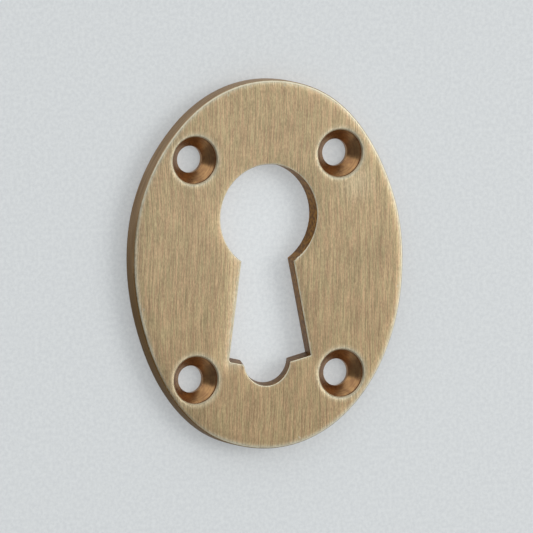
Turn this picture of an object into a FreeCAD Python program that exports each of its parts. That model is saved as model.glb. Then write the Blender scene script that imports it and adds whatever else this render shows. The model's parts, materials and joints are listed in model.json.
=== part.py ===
import FreeCAD, Part
import math
import os
from FreeCAD import Vector

# Keyhole escutcheon: an oval brass plate, pierced for a lever key and drilled for four countersunk screws.
# Millimetres. X runs across the plate, Z up it and Y into the door, so the front face looks towards -Y.
# The origin is the centre of the four screw holes, on the back face that lies against the door.

# The oval plate. Its edge is filed by hand, so it wanders a little from a true oval.
PLATE_HEIGHT = 45.0
PLATE_WIDTH = 35.7
PLATE_THICKNESS = 2.4
PLATE_RISE = 0.3            # centre of the oval above the centre of the screw holes
PLATE_SHIFT = 0.1           # and to its right
OVAL_FULLNESS = 2.04        # 2 is an ellipse, more is fuller at the shoulders
FILED_EDGE = (              # degrees from +X, how far the edge stands out there, half its reach in degrees
    (36.0, -0.17, 26.0),
    (68.0, 0.11, 18.0),
    (157.0, 0.24, 34.0),
    (210.0, -0.27, 32.0),
    (248.0, 0.15, 16.0),
)
FRONT_EDGE_ROUND = 0.3      # worn round along the front of the outer edge
BACK_EDGE_BREAK = 0.12      # narrow bevel behind, round the plate and the screw holes

# The four screw holes, which sit a set distance in from the oval's edge
SCREW_DIRECTION = 54.3      # degrees from +X, seen from the plate's middle
SCREW_EDGE_METAL = 1.27     # metal between a countersink and the edge in that direction
SCREW_HOLE_DIAMETER = 3.3
SCREW_HEAD_DIAMETER = 5.75
SCREW_HEAD_LIP = 0.5        # straight wall above the cone, which lets the head sit below the face
SCREW_HEAD_ANGLE = 90.0

# The keyhole: a bored round part for the key's barrel, a flared skirt for its bit, a round notch at the foot
KEY_RADIUS = 6.4
KEY_RISE = 6.1              # centre of the round part above the centre of the screw holes
KEY_SHIFT = 0.12            # and to its right
NECK_LEFT = 3.5             # half-widths of the skirt at its neck, which were cut by eye
NECK_RIGHT = 3.3
FOOT_METAL_LEFT = 1.57      # metal across the plate from the skirt's foot to the line of the countersinks
FOOT_METAL_RIGHT = 1.22
SKIRT_DROP = 17.15          # right corner of the skirt's foot below the centre of the round part
FOOT_TILT = 0.35            # how much lower its left corner is
LAND_FALL = 1.37            # from the right corner down to where the two sloping lands would meet
LEFT_LAND_WIDTH = 1.95      # the notch takes what the two lands leave of the foot's width
RIGHT_LAND_WIDTH = 2.8
NOTCH_SINK = 0.45           # centre of the notch below the right corner of the foot
SHOULDER_ROUND = 0.5        # where the left land rolls over into the notch
FOOT_ROUND = 0.3            # in the foot's left corner
RIM_BREAK = 0.15            # bright worn edge, round along the keyhole and a bevel on the countersinks

# The saw and the file leaned, so at the back these places lie further to the right, or higher, than in front
SKIRT_LEAN = 0.33
NOTCH_LEAN = 0.66
LEFT_LAND_RISE = 0.45
RIGHT_LAND_RISE = 0.19

# How closely the oval is followed, and how far the cutting tools run past the faces
OVAL_POINTS = 36
OVERSHOOT = 1.0
SAME_PLACE = 0.02


def oval_reach(degrees):
    """How far the true oval reaches from its centre in one direction."""
    across, up = math.cos(math.radians(degrees)), math.sin(math.radians(degrees))
    share = abs(2.0 * across / PLATE_WIDTH) ** OVAL_FULLNESS + abs(2.0 * up / PLATE_HEIGHT) ** OVAL_FULLNESS
    return share ** (-1.0 / OVAL_FULLNESS)


# Sizes that follow from the ones above
SCREW_REACH = oval_reach(SCREW_DIRECTION) - SCREW_EDGE_METAL - SCREW_HEAD_DIAMETER / 2
SCREW_X = SCREW_REACH * math.cos(math.radians(SCREW_DIRECTION))
SCREW_Z = SCREW_REACH * math.sin(math.radians(SCREW_DIRECTION))
FOOT_LEFT = SCREW_X - SCREW_HEAD_DIAMETER / 2 - FOOT_METAL_LEFT
FOOT_RIGHT = SCREW_X - SCREW_HEAD_DIAMETER / 2 - FOOT_METAL_RIGHT
NOTCH_LEFT = FOOT_LEFT - LEFT_LAND_WIDTH
NOTCH_RIGHT = FOOT_RIGHT - RIGHT_LAND_WIDTH
NOTCH_RADIUS = (NOTCH_LEFT + NOTCH_RIGHT) / 2
NOTCH_X = (NOTCH_RIGHT - NOTCH_LEFT) / 2


def filed_stand_out(degrees):
    """How far the filed edge stands out of the true oval in one direction."""
    total = 0.0
    for direction, height, reach in FILED_EDGE:
        away = abs((degrees - direction + 180.0) % 360.0 - 180.0)
        if away < reach:
            total += height * 0.5 * (1.0 + math.cos(math.pi * away / reach))
    return total


def oval_point(degrees, y):
    """A point of the plate's outline, in the direction given from the oval's centre."""
    radius = oval_reach(degrees) + filed_stand_out(degrees)
    across, up = radius * math.cos(math.radians(degrees)), radius * math.sin(math.radians(degrees))
    return Vector(PLATE_SHIFT + across, y, PLATE_RISE + up)


def edges_on_face(shape, y):
    """Every edge that lies flat at one level of the plate's thickness."""
    flat = [e for e in shape.Edges if e.BoundBox.YLength < SAME_PLACE]
    return [e for e in flat if abs(e.BoundBox.YMin - y) < SAME_PLACE]


def oval_wire(y):
    """The plate's outline at one level of its thickness, one smooth closed curve."""
    curve = Part.BSplineCurve()
    turn = 360.0 / OVAL_POINTS
    curve.interpolate([oval_point(turn * i, y) for i in range(OVAL_POINTS)], PeriodicFlag=True)
    return Part.Wire(curve.toShape())


def make_blank():
    """The oval plate before anything is cut in it, with both its edges broken."""
    blank = Part.makeLoft([oval_wire(-PLATE_THICKNESS), oval_wire(0.0)], True, True)
    blank = blank.makeFillet(FRONT_EDGE_ROUND, edges_on_face(blank, -PLATE_THICKNESS))
    return blank.makeChamfer(BACK_EDGE_BREAK, edges_on_face(blank, 0.0))


def make_screw_hole(x, z):
    """Cutting tool for one screw: a clear hole, the cone for its head and a straight lip, both rims bevelled."""
    hole, head = SCREW_HOLE_DIAMETER / 2, SCREW_HEAD_DIAMETER / 2
    cone_top = -PLATE_THICKNESS + SCREW_HEAD_LIP
    cone_foot = cone_top + (head - hole) / math.tan(math.radians(SCREW_HEAD_ANGLE / 2))
    profile = [
        (0.0, -PLATE_THICKNESS - OVERSHOOT),
        (head + RIM_BREAK + OVERSHOOT, -PLATE_THICKNESS - OVERSHOOT),
        (head, -PLATE_THICKNESS + RIM_BREAK),
        (head, cone_top),
        (hole, cone_foot),
        (hole, -BACK_EDGE_BREAK),
        (hole + BACK_EDGE_BREAK + OVERSHOOT, OVERSHOOT),
        (0.0, OVERSHOOT),
    ]
    corners = [Vector(x + r, y, z) for r, y in profile]
    section = Part.Face(Part.makePolygon(corners + corners[:1]))
    return section.revolve(Vector(x, 0, z), Vector(0, 1, 0), 360)


def key_bore():
    """Cutting tool for the round part of the keyhole, a plain straight bore."""
    mouth = Vector(KEY_SHIFT, -PLATE_THICKNESS - OVERSHOOT, KEY_RISE)
    return Part.makeCylinder(KEY_RADIUS, PLATE_THICKNESS + 2 * OVERSHOOT, mouth, Vector(0, 1, 0))


def skirt_side(neck, foot, foot_z):
    """Half-width at which one side of the skirt, carried on upwards, reaches the level of the bore's centre."""
    neck_z = KEY_RISE - math.sqrt(KEY_RADIUS ** 2 - neck ** 2)
    return neck - (foot - neck) / (neck_z - foot_z) * (KEY_RISE - neck_z)


def leaning_outline(places, y):
    """The places moved to one level of the plate's thickness, each along its own lean."""
    share = (y + PLATE_THICKNESS) / PLATE_THICKNESS
    return [Vector(x + lean_x * share, y, z + lean_z * share) for x, z, lean_x, lean_z in places]


def make_skirt():
    """Cutting tool for the skirt of the keyhole, from inside the bore down to its two sloping lands."""
    right_z = KEY_RISE - SKIRT_DROP
    left_z = right_z - FOOT_TILT
    places = [
        (-skirt_side(NECK_LEFT, FOOT_LEFT, left_z), KEY_RISE, SKIRT_LEAN, 0.0),
        (skirt_side(NECK_RIGHT, FOOT_RIGHT, right_z), KEY_RISE, SKIRT_LEAN, 0.0),
        (FOOT_RIGHT, right_z, SKIRT_LEAN, RIGHT_LAND_RISE),
        (NOTCH_X, right_z - LAND_FALL, NOTCH_LEAN, RIGHT_LAND_RISE),
        (-FOOT_LEFT, left_z, SKIRT_LEAN, LEFT_LAND_RISE),
    ]
    wires = []
    for y in (-PLATE_THICKNESS - OVERSHOOT, OVERSHOOT):
        corners = leaning_outline(places, y)
        wires.append(Part.makePolygon(corners + corners[:1]))
    skirt = Part.makeLoft(wires, True, True)
    walls = [e for e in skirt.Edges if e.BoundBox.YLength > PLATE_THICKNESS]
    left_corner = min(walls, key=lambda e: e.CenterOfMass.x)
    return skirt.makeFillet(FOOT_ROUND, [left_corner])


def make_notch():
    """Cutting tool for the round notch, which was bored at a slant."""
    place = (NOTCH_X, KEY_RISE - SKIRT_DROP - NOTCH_SINK, NOTCH_LEAN, RIGHT_LAND_RISE)
    start = leaning_outline([place], -PLATE_THICKNESS - OVERSHOOT)[0]
    end = leaning_outline([place], OVERSHOOT)[0]
    ring = Part.Wire(Part.makeCircle(NOTCH_RADIUS, start, Vector(0, 1, 0)))
    return Part.Face(ring).extrude(end - start)


def make_foot():
    """Cutting tool for skirt and notch together, with the left land rolled over into the notch."""
    foot = make_skirt().fuse(make_notch()).Solids[0]
    walls = [e for e in foot.Edges if e.BoundBox.YLength > PLATE_THICKNESS and e.CenterOfMass.x < 0]
    shoulder = min(walls, key=lambda e: abs(e.CenterOfMass.x + NOTCH_LEFT))
    return foot.makeFillet(SHOULDER_ROUND, [shoulder])


def make_plate():
    """The finished escutcheon."""
    plate = make_blank()
    for side in (-1, 1):
        for level in (-1, 1):
            plate = plate.cut(make_screw_hole(side * SCREW_X, level * SCREW_Z))
    plate = plate.cut(key_bore()).cut(make_foot())
    front_edges = edges_on_face(plate, -PLATE_THICKNESS)
    keyhole_rim = [e for e in front_edges if max(abs(e.BoundBox.XMin), abs(e.BoundBox.XMax)) < SCREW_X]
    return plate.makeFillet(RIM_BREAK, keyhole_rim).Solids[0]


os.makedirs("parts", exist_ok=True)
escutcheon_plate = make_plate()
escutcheon_plate.exportStep("parts/escutcheon_plate.step")
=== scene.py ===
# %% [markdown]
# # A keyhole escutcheon in satin brass
#
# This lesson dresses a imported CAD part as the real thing: a small oval brass plate that is screwed over
# a keyhole. The solid gives the true form, with its countersinks, its leaning saw cuts and its worn
# rims. What it lacks is what a hand leaves on brass: a face rubbed along its length, edges polished
# bright by touch, and dull brown metal where no cloth ever reaches. The frame comes first, because every
# piece is placed in it. It is in metres: X runs across the plate, Z up it, and the front looks towards
# -Y.

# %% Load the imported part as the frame
import json
import math

import bpy
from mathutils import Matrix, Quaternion, Vector

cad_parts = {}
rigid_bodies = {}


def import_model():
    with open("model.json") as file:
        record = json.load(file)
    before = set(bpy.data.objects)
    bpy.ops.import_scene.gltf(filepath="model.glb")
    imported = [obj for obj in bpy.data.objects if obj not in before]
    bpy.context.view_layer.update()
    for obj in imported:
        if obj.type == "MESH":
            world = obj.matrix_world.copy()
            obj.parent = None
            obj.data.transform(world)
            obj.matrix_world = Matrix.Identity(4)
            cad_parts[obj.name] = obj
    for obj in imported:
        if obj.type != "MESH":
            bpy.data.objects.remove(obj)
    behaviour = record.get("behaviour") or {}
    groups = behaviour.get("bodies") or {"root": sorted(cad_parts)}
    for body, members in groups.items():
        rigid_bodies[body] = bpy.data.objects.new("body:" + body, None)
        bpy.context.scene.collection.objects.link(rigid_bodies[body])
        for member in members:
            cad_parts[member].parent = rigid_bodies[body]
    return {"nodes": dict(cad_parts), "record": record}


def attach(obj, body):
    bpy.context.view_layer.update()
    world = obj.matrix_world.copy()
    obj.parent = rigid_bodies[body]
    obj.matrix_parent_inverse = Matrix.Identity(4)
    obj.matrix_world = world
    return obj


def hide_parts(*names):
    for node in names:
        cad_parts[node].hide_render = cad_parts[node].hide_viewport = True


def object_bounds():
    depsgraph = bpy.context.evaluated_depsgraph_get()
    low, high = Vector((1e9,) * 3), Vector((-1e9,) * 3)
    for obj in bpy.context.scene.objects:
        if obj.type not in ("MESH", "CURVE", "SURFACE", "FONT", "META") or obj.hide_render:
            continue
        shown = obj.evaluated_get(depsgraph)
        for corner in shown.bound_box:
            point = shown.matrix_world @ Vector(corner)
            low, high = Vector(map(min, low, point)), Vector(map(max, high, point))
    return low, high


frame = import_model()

MM = 0.001
cad_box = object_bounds()
print("CAD box in mm:", [[round(c / MM, 2) for c in corner] for corner in cad_box])

# %% [markdown]
# The record says where the holes are, so nothing is measured twice. The screw pattern gives the centres
# of the four countersinks, and the bore gives the round part of the keyhole.

# %% Read the places of the holes from the record
mounts = {mount["name"]: mount for mount in frame["record"]["mounts"]}
screw_x = mounts["screw_holes"]["dims"]["spacing_x_mm"] / 2
screw_z = mounts["screw_holes"]["dims"]["spacing_y_mm"] / 2
key_x, _, key_z = (c / MM for c in mounts["key_passage"]["pos_m"])
key_radius = mounts["key_passage"]["dims"]["r_mm"]
thickness = (cad_box[1].y - cad_box[0].y) / MM
print(f"screws at {screw_x:.2f} and {screw_z:.2f} mm from the middle")
print(f"key bore {key_radius:.2f} mm, plate {thickness:.2f} mm thick")

# %% [markdown]
# ## The plate
#
# The plate could be drawn again from nothing, but its solid already has the right outline to a hundredth
# of a millimetre, so the finer piece starts as a copy of it. A CAD mesh is loose triangles. Merging the
# points that lie on each other turns it into one skin that can be worked on, and the CAD node itself is
# left as it is.

# %% Small helpers for picking out parts of a mesh
def work_on(piece):
    """Makes one object the only selected and active one."""
    if bpy.context.object and bpy.context.object.mode != "OBJECT":
        bpy.ops.object.mode_set(mode="OBJECT")
    bpy.ops.object.select_all(action="DESELECT")
    piece.select_set(True)
    bpy.context.view_layer.objects.active = piece


def pick_faces(piece, test):
    """Goes into edit mode with only the faces selected whose centre and normal pass the test."""
    work_on(piece)
    bpy.ops.object.mode_set(mode="EDIT")
    bpy.ops.mesh.select_mode(type="FACE")
    bpy.ops.mesh.select_all(action="DESELECT")
    bpy.ops.object.mode_set(mode="OBJECT")
    for face in piece.data.polygons:
        face.select = test(face.center / MM, face.normal)
    print("picked", sum(face.select for face in piece.data.polygons), "faces of", piece.name)
    bpy.ops.object.mode_set(mode="EDIT")


def pick_points(piece, test):
    """Goes into edit mode with only the points selected that pass the test."""
    work_on(piece)
    bpy.ops.object.mode_set(mode="EDIT")
    bpy.ops.mesh.select_mode(type="VERT")
    bpy.ops.mesh.select_all(action="DESELECT")
    bpy.ops.object.mode_set(mode="OBJECT")
    for point in piece.data.vertices:
        point.select = test(point.co / MM)
    print("picked", sum(point.select for point in piece.data.vertices), "points of", piece.name)
    bpy.ops.object.mode_set(mode="EDIT")


# %% Copy the solid and merge its loose triangles
SAME_POINT = 0.002
CLOSED_GAPS = (0.06, 0.02, 0.02)

work_on(frame["nodes"]["escutcheon_plate"])
bpy.ops.object.duplicate()
plate = bpy.context.active_object
bpy.ops.object.parent_clear(type="CLEAR_KEEP_TRANSFORM")
plate.name = plate.data.name = "rubbed_plate"
bpy.ops.object.mode_set(mode="EDIT")
bpy.ops.mesh.select_all(action="SELECT")
bpy.ops.mesh.remove_doubles(threshold=SAME_POINT * MM)
for gap in CLOSED_GAPS:
    bpy.ops.mesh.select_mode(type="VERT")
    bpy.ops.mesh.select_all(action="DESELECT")
    bpy.ops.mesh.select_non_manifold()
    bpy.ops.mesh.remove_doubles(threshold=gap * MM)
    bpy.ops.mesh.select_all(action="SELECT")
    bpy.ops.mesh.delete_loose(use_verts=True, use_edges=True, use_faces=False)
    bpy.ops.mesh.fill_holes(sides=4)
bpy.ops.object.mode_set(mode="OBJECT")
bpy.ops.mesh.customdata_custom_splitnormals_clear()
print("merged plate:", len(plate.data.vertices), "points,", len(plate.data.polygons), "faces")

# %% [markdown]
# The flat front is a few huge triangles, which can't be shaped, and their corners pull the shading of
# the rims across them. So it is taken out and built again from its rims inwards, as E and S do by hand:
# a rim's edge is extruded and scaled about its own middle, which on an oval or a circle gives a ring of
# even width. Filling closes what is left.

# %% Helpers for telling the rims apart
SCREW_REACH = 3.05
SCREW_SURROUND = 3.2
SCREW_RIM = 3.025
OVAL_MIDDLE = (0.1, 0.3)
OVAL_HALF = (17.85, 22.5)
OUTER_SHARE = 0.9
ON_THE_FRONT = 0.0005
front = -thickness


def near_screw(point, reach=SCREW_REACH):
    return math.hypot(abs(point.x) - screw_x, abs(point.z) - screw_z) < reach


def near_outline(point):
    across, up = (point.x - OVAL_MIDDLE[0]) / OVAL_HALF[0], (point.z - OVAL_MIDDLE[1]) / OVAL_HALF[1]
    return math.hypot(across, up) > OUTER_SHARE and not near_screw(point, SCREW_SURROUND)


def near_key(point):
    return not near_screw(point) and not near_outline(point)


def in_front(point):
    return abs(point.y - front) < ON_THE_FRONT


def place_key(point):
    return round(point.x, 3), round(point.z, 3)


def pick_open_edges(piece, test):
    """Goes into edit mode with only those open edges selected whose middle and length pass the test."""
    work_on(piece)
    bpy.ops.object.mode_set(mode="EDIT")
    bpy.ops.mesh.select_mode(type="EDGE")
    bpy.ops.mesh.select_all(action="DESELECT")
    bpy.ops.object.mode_set(mode="OBJECT")
    sides = {}
    for face in piece.data.polygons:
        for key in face.edge_keys:
            sides[key] = sides.get(key, 0) + 1
    for edge in piece.data.edges:
        first, second = (piece.data.vertices[i].co / MM for i in edge.vertices)
        edge.select = sides.get(edge.key) == 1 and test((first + second) / 2, (first - second).length)
    print("picked", sum(edge.select for edge in piece.data.edges), "open edges of", piece.name)
    bpy.ops.object.mode_set(mode="EDIT")


# %% [markdown]
# The keyhole's edge is rounded over 0.15 mm. On part of it the triangles fan out of single points
# instead of running across the round in even steps, and that shows as dark notches. There each fan is
# taken out and the gap bridged between the short edges on its two sides, as one would with Bridge Edge
# Loops.

# %% Rebuild the keyhole's round where its triangles fan out
ROUND_DEPTH = 0.15
SAME_PLACE = 0.003
FAN = 10
BEHIND = 0.12
SHORT_EDGE = 0.4


def round_faces():
    """The faces of the keyhole's round, each with its middle in millimetres."""
    for face in plate.data.polygons:
        centre = face.center / MM
        if near_key(centre) and front < centre.y < front + ROUND_DEPTH - SAME_PLACE:
            yield face, centre


sharing = {}
for face, centre in round_faces():
    for index in face.vertices:
        sharing[index] = sharing.get(index, 0) + 1
middles = []
for index, faces in sharing.items():
    place = plate.data.vertices[index].co / MM
    if faces > FAN and abs(place.y - front - ROUND_DEPTH) < SAME_PLACE:
        middles.append(place)
for middle in middles:
    out = math.hypot(middle.x - key_x, middle.z - key_z)
    along = ((key_z - middle.z) / out, (middle.x - key_x) / out)
    fan = set()
    for face, centre in round_faces():
        touches = any((plate.data.vertices[i].co / MM - middle).length < SAME_PLACE for i in face.vertices)
        if touches and (centre.x - middle.x) * along[0] + (centre.z - middle.z) * along[1] > -BEHIND:
            fan.add(face.index)
    work_on(plate)
    bpy.ops.object.mode_set(mode="EDIT")
    bpy.ops.mesh.select_mode(type="FACE")
    bpy.ops.mesh.select_all(action="DESELECT")
    bpy.ops.object.mode_set(mode="OBJECT")
    for face in plate.data.polygons:
        face.select = face.index in fan
    bpy.ops.object.mode_set(mode="EDIT")
    bpy.ops.mesh.delete(type="FACE")
    pick_open_edges(plate, lambda place, length: length < SHORT_EDGE)
    bpy.ops.mesh.bridge_edge_loops()
    bpy.ops.object.mode_set(mode="OBJECT")
print("rebuilt the keyhole's round at", len(middles), "fans, now", len(plate.data.polygons), "faces")

# %% Take the flat front out and lay rings along its rims
OVAL_RINGS = (0.06, 0.12)
SCREW_RINGS = (0.05, 0.07)
NET = 0.3
LONG_EDGES = ((4 * NET, 30), (1.5 * NET, 3))
OVAL_FRONT_HALF = (17.55, 22.2)
FACING_FORWARDS = -0.9999

pick_faces(plate, lambda centre, normal: normal.y < FACING_FORWARDS and in_front(centre))
bpy.ops.mesh.delete(type="FACE")
for long_edge, cuts in LONG_EDGES:
    pick_open_edges(plate, lambda middle, length: in_front(middle) and length > long_edge)
    bpy.ops.mesh.subdivide(number_cuts=cuts)
bpy.ops.object.mode_set(mode="OBJECT")
open_rim = {place_key(point.co / MM) for point in plate.data.vertices if in_front(point.co / MM)}
print("the rims have", len(open_rim), "points")

rims = [(near_outline, *OVAL_MIDDLE, *OVAL_FRONT_HALF, OVAL_RINGS)]
for x, z in ((-screw_x, -screw_z), (-screw_x, screw_z), (screw_x, -screw_z), (screw_x, screw_z)):
    here = lambda point, x=x, z=z: math.hypot(point.x - x, point.z - z) < SCREW_REACH
    rims.append((here, x, z, -SCREW_RIM, -SCREW_RIM, SCREW_RINGS))
for on_rim, x, z, half_width, half_height, rings in rims:
    pick_open_edges(plate, lambda middle, length: in_front(middle) and on_rim(middle))
    for ring in rings:
        bpy.ops.mesh.extrude_edges_move()
        shares = (1 - ring / half_width, 1.0, 1 - ring / half_height)
        bpy.ops.transform.resize(value=shares, center_override=(x * MM, front * MM, z * MM))
        half_width, half_height = half_width - ring, half_height - ring

# %% [markdown]
# The fill is cut by straight planes into a fine net. Everything else is hidden meanwhile: hidden faces
# aren't cut, yet they share the new points on their border, so the skin stays closed.

# %% Fill the front and lay a net over it
STRIP = 0.04

pick_open_edges(plate, lambda middle, length: in_front(middle))
bpy.ops.mesh.fill(use_beauty=True)
bpy.ops.mesh.select_mode(type="FACE")
bpy.ops.mesh.inset(thickness=STRIP * MM, depth=0.0)
bpy.ops.mesh.hide(unselected=True)
for axis in (0, 2):
    place = math.floor(cad_box[0][axis] / MM) + NET / 2
    while place < cad_box[1][axis] / MM:
        point, normal = [0.0, 0.0, 0.0], [0.0, 0.0, 0.0]
        point[axis], normal[axis] = place * MM, 1.0
        bpy.ops.mesh.select_all(action="SELECT")
        bpy.ops.mesh.bisect(plane_co=point, plane_no=normal)
        place += NET
bpy.ops.mesh.reveal(select=False)
bpy.ops.mesh.select_all(action="SELECT")
bpy.ops.mesh.normals_make_consistent(inside=False)
bpy.ops.object.mode_set(mode="OBJECT")
print("netted plate:", len(plate.data.polygons), "faces")

# %% [markdown]
# A cloth or a belt never leaves brass flat up to its very edge: the last millimetre falls away a little,
# and that slope is what catches the light. With proportional editing one push does it. The rim is moved
# back by a few hundredths of a millimetre, and its neighbours follow less and less.

# %% Let the face fall away towards its rims
ROUND_MARGIN = 0.11
BELOW_FRONT = 0.002
SKIRT_FOOT, SKIRT_NECK = -11.0, 0.8
flat_points = (point.co / MM for point in plate.data.vertices if in_front(point.co / MM))
face_places = {place_key(point) for point in flat_points} - open_rim


def near_face(point):
    return place_key(point) in face_places


def fall_away(near, worn, depth, reach, falloff="SHARP"):
    """Pushes a rim and its worn round back by one depth, and the face near it less and less."""
    pick_points(
        plate,
        lambda point: near(point) and point.y < front + worn + ROUND_MARGIN
        and (place_key(point) in open_rim or point.y > front + BELOW_FRONT and not near_face(point)),
    )
    bpy.ops.transform.translate(
        value=(0.0, depth * MM, 0.0),
        use_proportional_edit=True,
        proportional_edit_falloff=falloff,
        proportional_size=reach * MM,
    )
    bpy.ops.object.mode_set(mode="OBJECT")


def left_of_skirt(point):
    return near_key(point) and point.x < 0 and SKIRT_FOOT < point.z < SKIRT_NECK


for near, worn, depth, reach, falloff in (
    (near_outline, 0.30, 0.02, 1.6, "SHARP"),
    (near_outline, 0.32, 0.018, 0.7, "SHARP"),
    (near_key, 0.15, 0.03, 1.8, "SHARP"),
    (near_key, 0.18, 0.006, 0.5, "SHARP"),
    (left_of_skirt, 0.2, 0.065, 2.2, "LINEAR"),
    (near_screw, 0.15, 0.025, 0.3, "SHARP"),
):
    fall_away(near, worn, depth, reach, falloff)

# %% [markdown]
# Smooth shading with a sharp angle keeps the cut corners crisp and lets the rounds flow.

# %% Shade the plate
SHARP_ANGLE = 32

work_on(plate)
bpy.ops.object.shade_smooth_by_angle(angle=math.radians(SHARP_ANGLE))
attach(plate, "root")
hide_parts("escutcheon_plate")
print("the plate rides on the root and replaces escutcheon_plate")

# %% [markdown]
# ## Finishes
#
# Brass on an old door is never one colour. Its face keeps the upright grain of the cloth, touch polishes its
# rims, its sides and the walls of the keyhole stay brown, and a cutter left rings in the countersinks. The
# bright rims and the brighter metal round the screws are partly that polish and partly a painted highlight and
# a painted sheen. What several finishes or several places share is a node group, so a finish only names the
# effect and says how far it reaches. There are four: the grain, a soft spot, the worn rim with its painted
# highlight, and the wear and painted sheen round a screw.

# %% Helpers for building node groups
def new_group(name, inputs, outputs):
    """A node group with named sockets. Each input is (name, socket type, default value)."""
    group = bpy.data.node_groups.new(name, "ShaderNodeTree")
    for label, kind, value in inputs:
        socket = group.interface.new_socket(name=label, in_out="INPUT", socket_type=kind)
        if value is not None:
            socket.default_value = value
    for label, kind in outputs:
        group.interface.new_socket(name=label, in_out="OUTPUT", socket_type=kind)
    return group, group.nodes.new("NodeGroupInput"), group.nodes.new("NodeGroupOutput")


def add(tree, kind, settings=None, **values):
    """A node with its settings, and with values or links on its inputs, by name or, as i0 or i1, by number."""
    node = tree.nodes.new(kind)
    for label, value in (settings or {}).items():
        setattr(node, label, value)
    for label, value in values.items():
        numbered = label[0] == "i" and label[1:].isdigit()
        socket = node.inputs[int(label[1:]) if numbered else label.replace("_", " ")]
        if isinstance(value, bpy.types.NodeSocket):
            tree.links.new(value, socket)
        else:
            socket.default_value = value
    return node


def reckon(tree, operation, first, second, third=None, clamp=False):
    """One Math node; the result is its output."""
    values = {"i0": first, "i1": second}
    if third is not None:
        values["i2"] = third
    return add(tree, "ShaderNodeMath", {"operation": operation, "use_clamp": clamp}, **values).outputs[0]


def ramp(tree, value, low, high, start=0.0, end=1.0):
    """Goes smoothly from start to end as the value goes from low to high."""
    settings = {"interpolation_type": "SMOOTHSTEP"}
    node = add(tree, "ShaderNodeMapRange", settings, i0=value, i1=low, i2=high, i3=start, i4=end)
    return node.outputs[0]


def mix(tree, share, first, second, blend="MIX"):
    """A colour between two colours."""
    settings = {"data_type": "RGBA", "blend_type": blend}
    node = add(tree, "ShaderNodeMix", settings, i0=share, i6=first, i7=second)
    return node.outputs[2]


# %% [markdown]
# A cloth pulled up and down leaves hairlines, thin across the plate and long up it. A noise texture
# stretched in the same way does that: X is divided by the width of a line and Z by its length. Short,
# middle and long lines are averaged, because no stroke is as long as the next, and a slow noise sways
# them a little, as an arm does.

# %% The grain that rubbing leaves
ARM_SWING = 0.07
SWAY = 0.8
ROW_STEP = 7.3


def make_grain():
    group, given, result = new_group(
        "rubbed_grain",
        [
            ("Position", "NodeSocketVector", None),
            ("Width", "NodeSocketFloat", 0.1),
            ("Length", "NodeSocketFloat", 1.0),
        ],
        [("Hairs", "NodeSocketFloat"), ("Tint", "NodeSocketFloat"), ("Strokes", "NodeSocketFloat")],
    )
    position = given.outputs["Position"]
    hand = add(group, "ShaderNodeTexNoise", None, Vector=position, Scale=ARM_SWING, Detail=0.0)
    sway = reckon(group, "MULTIPLY_ADD", hand.outputs["Fac"], 2 * SWAY, -SWAY)
    part = add(group, "ShaderNodeSeparateXYZ", Vector=position)
    across = reckon(group, "ADD", part.outputs["X"], sway)

    def lines(wider, longer):
        width = reckon(group, "MULTIPLY", given.outputs["Width"], wider)
        length = reckon(group, "MULTIPLY", given.outputs["Length"], longer)
        fine = reckon(group, "DIVIDE", across, width)
        long = reckon(group, "DIVIDE", part.outputs["Z"], length)
        place = add(group, "ShaderNodeCombineXYZ", X=fine, Y=longer * ROW_STEP, Z=long).outputs[0]
        return add(group, "ShaderNodeTexNoise", None, Vector=place, Scale=1.0, Detail=1.0).outputs["Fac"]

    short_and_middle = reckon(group, "ADD", lines(1.0, 0.4), lines(1.0, 1.3))
    all_lines = reckon(group, "ADD", short_and_middle, lines(1.0, 5.0))
    group.links.new(reckon(group, "DIVIDE", all_lines, 3.0), result.inputs["Hairs"])
    group.links.new(lines(1.1, 2.0), result.inputs["Tint"])
    group.links.new(lines(5.0, 18.0), result.inputs["Strokes"])
    return group


# %% [markdown]
# A darker patch, a painted shade or a painted highlight has no edge. The distance from its middle, led through
# a smooth ramp, gives such a spot wherever a finish wants one.

# %% A soft round spot, for a darker patch, a painted shade or a painted highlight
def make_spot():
    group, given, result = new_group(
        "soft_spot",
        [
            ("Position", "NodeSocketVector", None),
            ("Place", "NodeSocketVector", None),
            ("Reach", "NodeSocketFloat", 3.0),
        ],
        [("Spot", "NodeSocketFloat")],
    )
    position, place = given.outputs["Position"], given.outputs["Place"]
    away = add(group, "ShaderNodeVectorMath", {"operation": "DISTANCE"}, i0=position, i1=place)
    spot = ramp(group, away.outputs["Value"], 0.0, given.outputs["Reach"], 1.0, 0.0)
    group.links.new(spot, result.inputs["Spot"])
    return group


# %% [markdown]
# Touch polishes what stands proud, and the rounds of the rims catch the light, so their brightness is polish
# and a painted highlight. The normal tells how far a place has turned away from the front: a little on the
# slope next to a rim, which is Handled_and_sheen here, and more on the round itself, which is Rim. The depth
# below the front gives the Lip of a countersink. A noise keeps the polish and the painted highlight from being
# the same everywhere.

# %% The bright rim: polish from handling and a painted highlight
FULLY_LIT_DEPTH = 0.1
RIM_STARTS, RIM_FULL = -0.985, -0.93
RIM_FADES, RIM_ENDS = -0.80, -0.55
SLOPE_STARTS, SLOPE_FULL = -0.9998, -0.9955
SLOPE_FADES, SLOPE_ENDS = -0.90, -0.70
LEAST_POLISH = 0.55


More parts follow.
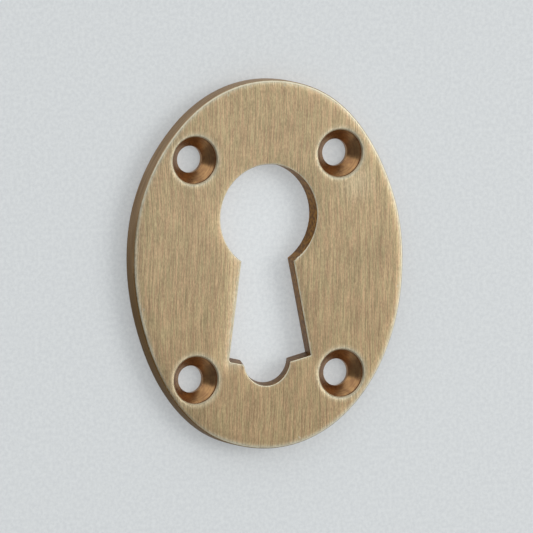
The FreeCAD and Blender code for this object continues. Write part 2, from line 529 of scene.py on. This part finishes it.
def make_polished_highlight_rim():
    group, given, result = new_group(
        "rim_wear_and_highlight",
        [
            ("Position", "NodeSocketVector", None),
            ("Normal", "NodeSocketVector", None),
            ("Reach", "NodeSocketFloat", 0.25),
        ],
        [("Rim", "NodeSocketFloat"), ("Handled_and_sheen", "NodeSocketFloat"), ("Lip", "NodeSocketFloat")],
    )
    place = add(group, "ShaderNodeSeparateXYZ", Vector=given.outputs["Position"])
    facing = add(group, "ShaderNodeSeparateXYZ", Vector=given.outputs["Normal"])
    depth = reckon(group, "ADD", place.outputs["Y"], thickness)
    shallow = ramp(group, depth, FULLY_LIT_DEPTH, given.outputs["Reach"], 1.0, 0.0)
    turned = reckon(
        group,
        "MULTIPLY",
        ramp(group, facing.outputs["Y"], RIM_STARTS, RIM_FULL),
        ramp(group, facing.outputs["Y"], RIM_FADES, RIM_ENDS, 1.0, 0.0),
    )
    noise = add(group, "ShaderNodeTexNoise", None, Vector=given.outputs["Position"], Scale=1.6, Detail=2.0)
    patchy = ramp(group, noise.outputs["Fac"], 0.25, 0.6, LEAST_POLISH, 1.0)
    rim = reckon(group, "MULTIPLY", reckon(group, "MULTIPLY", shallow, turned), patchy, clamp=True)
    group.links.new(rim, result.inputs["Rim"])
    group.links.new(shallow, result.inputs["Lip"])
    sloping = reckon(
        group,
        "MULTIPLY",
        ramp(group, facing.outputs["Y"], SLOPE_STARTS, SLOPE_FULL),
        ramp(group, facing.outputs["Y"], SLOPE_FADES, SLOPE_ENDS, 1.0, 0.0),
    )
    group.links.new(reckon(group, "MULTIPLY", sloping, patchy), result.inputs["Handled_and_sheen"])
    return group


# %% [markdown]
# A screwdriver slips and a screw's head rubs, so the metal round each countersink is a little brighter, and
# that ring is also a painted sheen. The four holes mirror one another. Dropping the sign of X and Z folds them
# onto one, and a single distance serves all four.

# %% The brighter metal round each hole: wear from a screwdriver and its screw, and a painted sheen
def make_worn_sheen_ring():
    group, given, result = new_group(
        "screw_wear_and_sheen",
        [("Position", "NodeSocketVector", None), ("Reach", "NodeSocketFloat", 3.6)],
        [("Glow", "NodeSocketFloat")],
    )
    place = add(group, "ShaderNodeSeparateXYZ", Vector=given.outputs["Position"])
    beside = reckon(group, "SUBTRACT", reckon(group, "ABSOLUTE", place.outputs["X"], 0.0), screw_x)
    above = reckon(group, "SUBTRACT", reckon(group, "ABSOLUTE", place.outputs["Z"], 0.0), screw_z)
    away = add(group, "ShaderNodeCombineXYZ", X=beside, Y=0.0, Z=above).outputs[0]
    radius = add(group, "ShaderNodeVectorMath", {"operation": "LENGTH"}, Vector=away).outputs["Value"]
    group.links.new(ramp(group, radius, SCREW_REACH, given.outputs["Reach"], 1.0, 0.0), result.inputs["Glow"])
    return group


grain_group, spot_group = make_grain(), make_spot()
polish_highlight_group, ring_wear_sheen_group = make_polished_highlight_rim(), make_worn_sheen_ring()
print("groups:", [group.name for group in bpy.data.node_groups])

# %% [markdown]
# Every finish starts in the same way, with the position in millimetres and the normal. Both come from
# the object's own coordinates, so the brass looks the same wherever the plate is put.

# %% Start a finish
def new_finish(name, metallic=1.0):
    material = bpy.data.materials.new(name)
    material.use_nodes = True
    tree = material.node_tree
    tree.nodes.clear()
    shader = add(tree, "ShaderNodeBsdfPrincipled", None, Metallic=metallic)
    tree.links.new(shader.outputs[0], add(tree, "ShaderNodeOutputMaterial").inputs["Surface"])
    where = add(tree, "ShaderNodeTexCoord")
    place, normal = where.outputs["Object"], where.outputs["Normal"]
    position = add(tree, "ShaderNodeVectorMath", {"operation": "SCALE"}, Vector=place, Scale=1 / MM)
    return material, tree, shader, position.outputs[0], normal


def use(tree, group, **values):
    node = tree.nodes.new("ShaderNodeGroup")
    node.node_tree = group
    for label, value in values.items():
        if isinstance(value, bpy.types.NodeSocket):
            tree.links.new(value, node.inputs[label])
        else:
            node.inputs[label].default_value = value
    return node


# %% [markdown]
# The colours that more than one place uses are named once. They are linear values, as a shader wants
# them.

# %% Name the colours of the brass
OLIVE = (0.433, 0.346, 0.204, 1.0)
PINKISH = (0.468, 0.332, 0.204, 1.0)
# The pale rim colours are polish, and partly a painted highlight and a painted sheen.
SLOPE_WEAR_AND_SHEEN = (0.50, 0.452, 0.335, 1.0)
POLISH_AND_HIGHLIGHT = (0.71, 0.665, 0.52, 1.0)
PALE_LIP_AND_HIGHLIGHT = (0.54, 0.48, 0.34, 1.0)
# Paler tone for the rings round the screws and the highlight patch: wear, a painted sheen and a painted
# highlight.
WEAR_AND_SHEEN_TONE = (0.56, 0.465, 0.305, 1.0)

# %% [markdown]
# The face is satin brass, between an olive and a pinkish tone, and it changes from one to the other from
# hairline to hairline. Whatever darkens or lightens it is one factor near 1, and the factors are multiplied.
# Towards the foot it is painted darker and browner, and towards the top a little lighter: painted shade by
# height. Soft spots paint a highlight high on the right, shade on the left rim and over the lower left, and a
# darker patch right of the middle. The hairlines also lift the surface by a hair, which the bump shows.

# %% The rubbed face
# A painted highlight: a brighter patch high on the right of the face.
HIGHLIGHT_PATCH_PLACE, HIGHLIGHT_PATCH_REACH = (11.8, front, 9.9), 3.6
# A darker patch right of the middle of the face.
DARKER_PATCH_PLACE, DARKER_PATCH_REACH = (13.9, front, 1.0), 5.0
# Painted shade on the left rim: its bright round is darkened there.
LEFT_RIM_SHADE_PLACE, LEFT_RIM_SHADE_REACH = (-17.3, front, 4.0), 6.0
# Painted shade over the lower left of the face.
SHADED_PLACE, SHADED_REACH = (-13.0, front, -16.5), 11.0
# Painted shade by height: darker and browner at the foot, a little lighter at the top.
SHADED_FOOT, LIT_TOP = (0.90, 0.87, 0.82, 1.0), (1.02, 1.02, 1.01, 1.0)
FACE_ROUGHNESS, HAIR_ROUGHNESS, SLOPE_ROUGHNESS = 0.26, 0.12, 0.30
HAIR_HEIGHT = 0.02 * MM


def face_finish():
    material, tree, shader, position, normal = new_finish("brass_rubbed_face")
    grain = use(tree, grain_group, Position=position, Width=0.1, Length=1.0)
    rim = use(tree, polish_highlight_group, Position=position, Normal=normal, Reach=0.3)
    glow = use(tree, ring_wear_sheen_group, Position=position, Reach=3.75)
    highlight_patch = use(tree, spot_group, Position=position, Place=HIGHLIGHT_PATCH_PLACE, Reach=HIGHLIGHT_PATCH_REACH)
    darker_patch = use(tree, spot_group, Position=position, Place=DARKER_PATCH_PLACE, Reach=DARKER_PATCH_REACH)
    left_rim_shade = use(tree, spot_group, Position=position, Place=LEFT_RIM_SHADE_PLACE, Reach=LEFT_RIM_SHADE_REACH)
    shade_low = use(tree, spot_group, Position=position, Place=SHADED_PLACE, Reach=SHADED_REACH)
    grit = add(tree, "ShaderNodeTexNoise", None, Vector=position, Scale=7.0, Detail=1.0)
    clouds = add(tree, "ShaderNodeTexNoise", None, Vector=position, Scale=0.25, Detail=2.0)
    height = add(tree, "ShaderNodeSeparateXYZ", Vector=position).outputs["Z"]
    tone = mix(tree, ramp(tree, grain.outputs["Tint"], 0.40, 0.60), OLIVE, PINKISH)
    shade = ramp(tree, grain.outputs["Hairs"], 0.33, 0.67, 0.70, 1.30)
    for amount in (
        ramp(tree, grain.outputs["Strokes"], 0.3, 0.7, 0.965, 1.035),
        ramp(tree, grit.outputs["Fac"], 0.3, 0.7, 0.95, 1.05),
        ramp(tree, clouds.outputs["Fac"], 0.3, 0.7, 0.985, 1.015),
        # Darker right of the middle.
        ramp(tree, darker_patch.outputs["Spot"], 0.0, 1.0, 1.0, 0.90),
        # Painted shade at the lower left.
        ramp(tree, shade_low.outputs["Spot"], 0.0, 1.0, 1.0, 0.88),
        # A painted highlight high on the right.
        ramp(tree, highlight_patch.outputs["Spot"], 0.0, 1.0, 1.0, 1.05),
    ):
        shade = reckon(tree, "MULTIPLY", shade, amount)
    grey = add(tree, "ShaderNodeCombineColor", None, Red=shade, Green=shade, Blue=shade).outputs[0]
    # The painted shade at the lower left also dims the rims and their slopes.
    lower_left_shade = ramp(tree, shade_low.outputs["Spot"], 0.0, 0.8, 1.0, 0.25)
    slope_wear_sheen = reckon(tree, "MULTIPLY", rim.outputs["Handled_and_sheen"], lower_left_shade)
    # The painted highlight patch also takes the paler tone.
    painted_highlight_share = reckon(tree, "MULTIPLY", highlight_patch.outputs["Spot"], 0.7)
    wear_sheen_share = reckon(tree, "MAXIMUM", glow.outputs["Glow"], painted_highlight_share)
    # Painted shade by height, darker at the foot.
    height_shade = mix(tree, ramp(tree, height, -24.0, 10.0), SHADED_FOOT, LIT_TOP)
    tone = mix(tree, 1.0, tone, height_shade, "MULTIPLY")
    # The rings round the screws take a paler tone as wear and painted sheen, and the highlight patch as a
    # painted highlight.
    tone = mix(tree, reckon(tree, "MULTIPLY", wear_sheen_share, 0.85), tone, WEAR_AND_SHEEN_TONE)
    # The slopes next to the rims are paler: wear and a painted sheen.
    rubbed = mix(tree, 1.0, mix(tree, slope_wear_sheen, tone, SLOPE_WEAR_AND_SHEEN), grey, "MULTIPLY")
    # Painted shade darkens the bright round on the left rim.
    shaded_edge = ramp(tree, left_rim_shade.outputs["Spot"], 0.0, 0.8, 1.0, 0.15)
    edge = reckon(tree, "MULTIPLY", rim.outputs["Rim"], shaded_edge)
    edge = reckon(tree, "MULTIPLY", edge, lower_left_shade)
    # The rounds of the rims are brighter: polish and a painted highlight.
    colour = mix(tree, edge, rubbed, POLISH_AND_HIGHLIGHT)
    tree.links.new(colour, shader.inputs["Base Color"])
    rough = reckon(tree, "MULTIPLY_ADD", grain.outputs["Hairs"], HAIR_ROUGHNESS, FACE_ROUGHNESS)
    rough = reckon(tree, "MULTIPLY_ADD", rim.outputs["Handled_and_sheen"], SLOPE_ROUGHNESS, rough)
    tree.links.new(rough, shader.inputs["Roughness"])
    hairs = grain.outputs["Hairs"]
    bump = add(tree, "ShaderNodeBump", None, Strength=0.25, Distance=HAIR_HEIGHT, Height=hairs)
    tree.links.new(bump.outputs[0], shader.inputs["Normal"])
    return material


# %% [markdown]
# No cloth reaches the sides, so they are dull and brown. They are painted darker and browner at the foot and
# lighter towards the top, as painted shade. The file went round the plate, so its strokes are a noise laid out
# by the angle round the middle.

# %% The sides, which keep their tarnish, with painted shade
SIDE_DARK, SIDE_PALE = (0.24, 0.165, 0.085, 1.0), (0.36, 0.27, 0.16, 1.0)
# Painted shade by height on the sides: darker and browner low, lighter high.
SIDE_SHADED_LOW, SIDE_LIT_HIGH = (0.55, 0.385, 0.10, 1.0), (1.28, 1.15, 1.12, 1.0)
FILE_STROKE_HEIGHT = 0.03 * MM


def side_finish():
    material, tree, shader, position, normal = new_finish("brass_tarnished_side", 0.85)
    rim = use(tree, polish_highlight_group, Position=position, Normal=normal, Reach=0.3)
    part = add(tree, "ShaderNodeSeparateXYZ", Vector=position)
    angle = reckon(tree, "ARCTAN2", part.outputs["Z"], part.outputs["X"])
    round_it = reckon(tree, "MULTIPLY", angle, 4.0)
    across_it = reckon(tree, "MULTIPLY", part.outputs["Y"], 7.0)
    strokes_at = add(tree, "ShaderNodeCombineXYZ", X=round_it, Y=across_it, Z=0.0)
    strokes = add(tree, "ShaderNodeTexNoise", None, Vector=strokes_at.outputs[0], Scale=1.0, Detail=3.0)
    brown = mix(tree, ramp(tree, strokes.outputs["Fac"], 0.35, 0.65), SIDE_DARK, SIDE_PALE)
    # Painted shade by height.
    height_shade = mix(tree, ramp(tree, part.outputs["Z"], -8.0, 15.0), SIDE_SHADED_LOW, SIDE_LIT_HIGH)
    # The side's rim is paler: polish and a painted highlight.
    colour = mix(tree, rim.outputs["Rim"], mix(tree, 1.0, brown, height_shade, "MULTIPLY"), SLOPE_WEAR_AND_SHEEN)
    tree.links.new(colour, shader.inputs["Base Color"])
    shader.inputs["Roughness"].default_value = 0.45
    height = strokes.outputs["Fac"]
    bump = add(tree, "ShaderNodeBump", None, Strength=0.4, Distance=FILE_STROKE_HEIGHT, Height=height)
    tree.links.new(bump.outputs[0], shader.inputs["Normal"])
    return material


# %% [markdown]
# The keyhole was bored, sawn and filed, and after that only a key touched it. Its walls are a mottled brown,
# golden in the round part and darker at the foot, with a bright line where they meet the face. That line is
# polish and a painted highlight.

# %% The keyhole's walls
GOLDEN_DARK, GOLDEN_PALE = (0.15, 0.060, 0.006, 1.0), (0.37, 0.17, 0.020, 1.0)
FOOT_DARK, FOOT_PALE = (0.15, 0.064, 0.012, 1.0), (0.27, 0.132, 0.030, 1.0)
SAW_MARK_HEIGHT = 0.04 * MM


def wall_finish():
    material, tree, shader, position, normal = new_finish("brass_sawn_keyhole", 0.9)
    rim = use(tree, polish_highlight_group, Position=position, Normal=normal, Reach=0.2)
    mottle = add(tree, "ShaderNodeTexNoise", None, Vector=position, Scale=2.2, Detail=4.0)
    golden = mix(tree, ramp(tree, mottle.outputs["Fac"], 0.35, 0.65), GOLDEN_DARK, GOLDEN_PALE)
    darker = mix(tree, ramp(tree, mottle.outputs["Fac"], 0.35, 0.65), FOOT_DARK, FOOT_PALE)
    height = add(tree, "ShaderNodeSeparateXYZ", Vector=position).outputs["Z"]
    brown = mix(tree, ramp(tree, height, -10.0, -6.0), darker, golden)
    # The line where the wall meets the face is brighter: polish and a painted highlight.
    colour = mix(tree, rim.outputs["Rim"], brown, POLISH_AND_HIGHLIGHT)
    tree.links.new(colour, shader.inputs["Base Color"])
    shader.inputs["Roughness"].default_value = 0.42
    marks = mottle.outputs["Fac"]
    bump = add(tree, "ShaderNodeBump", None, Strength=0.4, Distance=SAW_MARK_HEIGHT, Height=marks)
    tree.links.new(bump.outputs[0], shader.inputs["Normal"])
    return material


# %% [markdown]
# A cutter leaves rings in a countersink. They are a noise that changes with depth alone. The cone is shiny
# enough to mirror the room, while its lip is paler and duller. The paler lip is polish and a painted
# highlight.

# %% The turned countersinks
CONE_DARK, CONE_PALE = (0.31, 0.165, 0.080, 1.0), (0.46, 0.265, 0.120, 1.0)
CONE_ROUGHNESS, LIP_ROUGHNESS = 0.23, 0.50
RING_HEIGHT = 0.02 * MM


def countersink_finish():
    material, tree, shader, position, normal = new_finish("brass_turned_countersink")
    rim = use(tree, polish_highlight_group, Position=position, Normal=normal, Reach=0.22)
    part = add(tree, "ShaderNodeSeparateXYZ", Vector=position)
    depth = reckon(tree, "MULTIPLY", part.outputs["Y"], 9.0)
    rings_at = add(tree, "ShaderNodeCombineXYZ", X=0.0, Y=depth, Z=0.0)
    rings = add(tree, "ShaderNodeTexNoise", None, Vector=rings_at.outputs[0], Scale=1.0, Detail=2.0)
    mottle = add(tree, "ShaderNodeTexNoise", None, Vector=position, Scale=1.5, Detail=3.0)
    patches = reckon(tree, "MULTIPLY", mottle.outputs["Fac"], 0.6)
    turned = reckon(tree, "MULTIPLY_ADD", rings.outputs["Fac"], 0.4, patches)
    brown = mix(tree, ramp(tree, turned, 0.38, 0.62), CONE_DARK, CONE_PALE)
    # The lip is paler: polish and a painted highlight.
    colour = mix(tree, rim.outputs["Lip"], brown, PALE_LIP_AND_HIGHLIGHT)
    tree.links.new(colour, shader.inputs["Base Color"])
    rough = ramp(tree, rim.outputs["Lip"], 0.0, 1.0, CONE_ROUGHNESS, LIP_ROUGHNESS)
    tree.links.new(rough, shader.inputs["Roughness"])
    height = rings.outputs["Fac"]
    bump = add(tree, "ShaderNodeBump", None, Strength=0.25, Distance=RING_HEIGHT, Height=height)
    tree.links.new(bump.outputs[0], shader.inputs["Normal"])
    return material


# %% [markdown]
# Nobody polishes the back. It is plain stained brass.

# %% The back, which nobody polishes
BACK_DARK, BACK_PALE = (0.22, 0.155, 0.08, 1.0), (0.38, 0.29, 0.16, 1.0)


def back_finish():
    material, tree, shader, position, _ = new_finish("brass_plain_back", 0.9)
    stains = add(tree, "ShaderNodeTexNoise", None, Vector=position, Scale=0.5, Detail=5.0)
    colour = mix(tree, ramp(tree, stains.outputs["Fac"], 0.35, 0.65), BACK_DARK, BACK_PALE)
    tree.links.new(colour, shader.inputs["Base Color"])
    shader.inputs["Roughness"].default_value = 0.5
    return material


# %% [markdown]
# The plate is one piece with five finishes, each in a slot of its own. A face gets its finish by where
# it lies and where it looks: what looks forwards near the front is the face, the rest is a side or a
# wall of the keyhole.

# %% Put each finish on its faces
BACK_DEPTH = 0.01
COUNTERSINK_STARTS = 0.03
FACE_DEPTH = 0.45
FACE_TURN = -0.6


def wears(kind):
    """The test that picks the faces of one finish."""
    def test(centre, normal):
        if centre.y > -BACK_DEPTH:
            return kind == "back"
        if near_screw(centre):
            return kind == ("countersink" if centre.y > front + COUNTERSINK_STARTS else "face")
        if centre.y < front + FACE_DEPTH and normal.y < FACE_TURN:
            return kind == "face"
        return kind == ("side" if near_outline(centre) else "wall")
    return test


plate.data.materials.clear()
finishes = (
    ("face", face_finish()),
    ("side", side_finish()),
    ("wall", wall_finish()),
    ("countersink", countersink_finish()),
    ("back", back_finish()),
)
for number, (kind, material) in enumerate(finishes):
    plate.data.materials.append(material)
    pick_faces(plate, wears(kind))
    plate.active_material_index = number
    bpy.ops.object.material_slot_assign()
    bpy.ops.object.mode_set(mode="OBJECT")
print("finishes:", [material.name for material in plate.data.materials])

# %% [markdown]
# ## The wall, the light and the camera
#
# An escutcheon is seen flat against a door, so a pale painted wall stands just behind the plate and takes its
# shadow. The paint glows a little of its own for the camera, so the wall stays pale beside the lit brass.
# Through the keyhole the paint is made a touch lighter, as painted light. From behind the wall is clear, so
# that the back of the plate can be looked at.

# %% The wall behind
WALL_SIZE = 1.2
WALL_GAP = 0.02

work_on(plate)
bpy.ops.object.select_all(action="DESELECT")
upright = (math.radians(90), 0.0, 0.0)
bpy.ops.mesh.primitive_plane_add(size=WALL_SIZE, location=(0.0, WALL_GAP * MM, 0.0), rotation=upright)
wall = bpy.context.active_object
wall.name = "plain_wall"
bpy.ops.object.transform_apply(location=True, rotation=True, scale=True)

PAINT_DARK, PAINT_PALE = (0.67, 0.695, 0.71, 1.0), (0.74, 0.765, 0.775, 1.0)
PAINT_GRAIN = 2200.0
# Painted light: the wall seen through the keyhole is made lighter.
KEYHOLE_SPOT = (9 * MM, 1.0, 15 * MM)
PAINTED_LIGHT_GAIN = (1.11, 1.11, 1.11, 1.0)
OWN_LIGHT = 0.4


def wall_paint():
    material = bpy.data.materials.new("plain_wall_paint")
    material.use_nodes = True
    tree = material.node_tree
    tree.nodes.clear()
    where = add(tree, "ShaderNodeTexCoord").outputs["Object"]
    grit = add(tree, "ShaderNodeTexNoise", None, Vector=where, Scale=PAINT_GRAIN, Detail=3.0, Roughness=0.6)
    tone = ramp(tree, grit.outputs["Fac"], 0.3, 0.7, 0.0, 1.0)
    painted = mix(tree, tone, PAINT_DARK, PAINT_PALE)
    spot = add(tree, "ShaderNodeVectorMath", {"operation": "DIVIDE"}, i0=where, i1=KEYHOLE_SPOT)
    from_middle = add(tree, "ShaderNodeVectorMath", {"operation": "LENGTH"}, i0=spot.outputs[0])
    # Painted light in the keyhole.
    keyhole_painted_light = ramp(tree, from_middle.outputs["Value"], 0.9, 1.1, 1.0, 0.0)
    colour = mix(tree, keyhole_painted_light, painted, mix(tree, 1.0, painted, PAINTED_LIGHT_GAIN, "MULTIPLY"))
    lit = add(tree, "ShaderNodeBsdfDiffuse", None, Color=colour)
    glow = add(tree, "ShaderNodeEmission", None, Color=colour, Strength=1.0)
    path = add(tree, "ShaderNodeLightPath")
    seen = reckon(tree, "MAXIMUM", path.outputs["Is Camera Ray"], path.outputs["Is Glossy Ray"])
    share = reckon(tree, "MULTIPLY", seen, OWN_LIGHT)
    shader = add(tree, "ShaderNodeMixShader", None, i0=share, i1=lit.outputs[0], i2=glow.outputs[0])
    clear = add(tree, "ShaderNodeBsdfTransparent")
    behind = add(tree, "ShaderNodeNewGeometry").outputs["Backfacing"]
    both = add(tree, "ShaderNodeMixShader", None, i0=behind, i1=shader.outputs[0], i2=clear.outputs[0])
    tree.links.new(both.outputs[0], add(tree, "ShaderNodeOutputMaterial").inputs["Surface"])
    return material


wall.data.materials.append(wall_paint())
print("wall:", wall.name, "at y", round(wall.data.vertices[0].co.y / MM, 3), "mm")

# %% [markdown]
# Brass shows what it mirrors, so the light is a window and a room. The window is to the right and throws
# the soft shadow. The room is painted by direction: brighter towards the window and overhead, darker on
# the left.

# %% The light
def area_light(name, towards, distance, size, strength, colour):
    """A square lamp that looks at the plate from the given direction."""
    direction = Vector(towards).normalized()
    bpy.ops.object.light_add(type="AREA", location=direction * distance)
    lamp = bpy.context.active_object
    lamp.name = lamp.data.name = name
    lamp.rotation_mode = "QUATERNION"
    lamp.rotation_quaternion = direction.to_track_quat("Z", "Y")
    lamp.data.size = size
    lamp.data.energy = strength
    lamp.data.color = colour


WINDOW_TOWARDS, WINDOW_DISTANCE, WINDOW_SIZE = (0.76, -0.64, 0.10), 1.0, 0.5
WINDOW_STRENGTH, WINDOW_COLOUR = 3.8, (1.0, 0.985, 0.96)
area_light(
    "window_light", WINDOW_TOWARDS, WINDOW_DISTANCE, WINDOW_SIZE, WINDOW_STRENGTH, WINDOW_COLOUR
)

ROOM_LEVEL = 0.52
ROOM_COLOUR = (0.97, 0.99, 1.0, 1.0)
world = bpy.data.worlds.new("soft_room")
bpy.context.scene.world = world
world.use_nodes = True
tree = world.node_tree
tree.nodes.clear()
direction = add(tree, "ShaderNodeSeparateXYZ", Vector=add(tree, "ShaderNodeTexCoord").outputs["Generated"])
window_side = ramp(tree, direction.outputs["X"], -0.1, 0.9, 0.0, 0.25)
ceiling = ramp(tree, direction.outputs["Z"], 0.15, 0.5, 0.0, 0.40)
dark_side = ramp(tree, direction.outputs["X"], -0.15, -0.75, 0.0, 0.34)
below = ramp(tree, direction.outputs["Z"], 0.30, 0.46, 1.0, 0.0)
dark_side = reckon(tree, "MULTIPLY", dark_side, below)
above = reckon(tree, "SUBTRACT", 1.0, below)
high_left = reckon(tree, "MULTIPLY", ramp(tree, direction.outputs["X"], -0.1, -0.5, 0.0, 0.2), above)
dark_side = reckon(tree, "SUBTRACT", dark_side, high_left)
level = reckon(tree, "ADD", reckon(tree, "ADD", window_side, ceiling), ROOM_LEVEL)
level = reckon(tree, "SUBTRACT", level, dark_side)
room = add(tree, "ShaderNodeBackground", None, Color=ROOM_COLOUR, Strength=level)
tree.links.new(room.outputs[0], add(tree, "ShaderNodeOutputWorld").inputs["Surface"])
print("lights:", [lamp.name for lamp in bpy.data.lights], "and the room", world.name)

# %% [markdown]
# The camera stands a little to the left and above, far enough away for parallel lines to stay parallel.

# %% The camera
VIEW_WIDTH = 64.755
AZIMUTH, ELEVATION, ROLL = -23.84, 5.77, 0.28
LOOKED_AT = (0.0, -2.4, 0.3)
SHIFT_RIGHT, SHIFT_UP = 0.219, 0.255
CAMERA_DISTANCE = 0.4
a, e = math.radians(AZIMUTH), math.radians(ELEVATION)
towards_camera = Vector((math.sin(a) * math.cos(e), -math.cos(a) * math.cos(e), math.sin(e)))
turn = (-towards_camera).to_track_quat("-Z", "Y") @ Quaternion((0, 0, 1), -math.radians(ROLL))
right, up = turn @ Vector((1, 0, 0)), turn @ Vector((0, 1, 0))
aim = Vector(LOOKED_AT) * MM - right * SHIFT_RIGHT * MM - up * SHIFT_UP * MM
bpy.ops.object.camera_add(location=aim + towards_camera * CAMERA_DISTANCE)
camera = bpy.context.active_object
camera.rotation_mode = "QUATERNION"
camera.rotation_quaternion = turn
camera.data.type = "ORTHO"
camera.data.ortho_scale = VIEW_WIDTH * MM
bpy.context.scene.camera = camera
bpy.context.scene.view_settings.view_transform = "Standard"
print("right", [round(c, 4) for c in right], "up", [round(c, 4) for c in up])
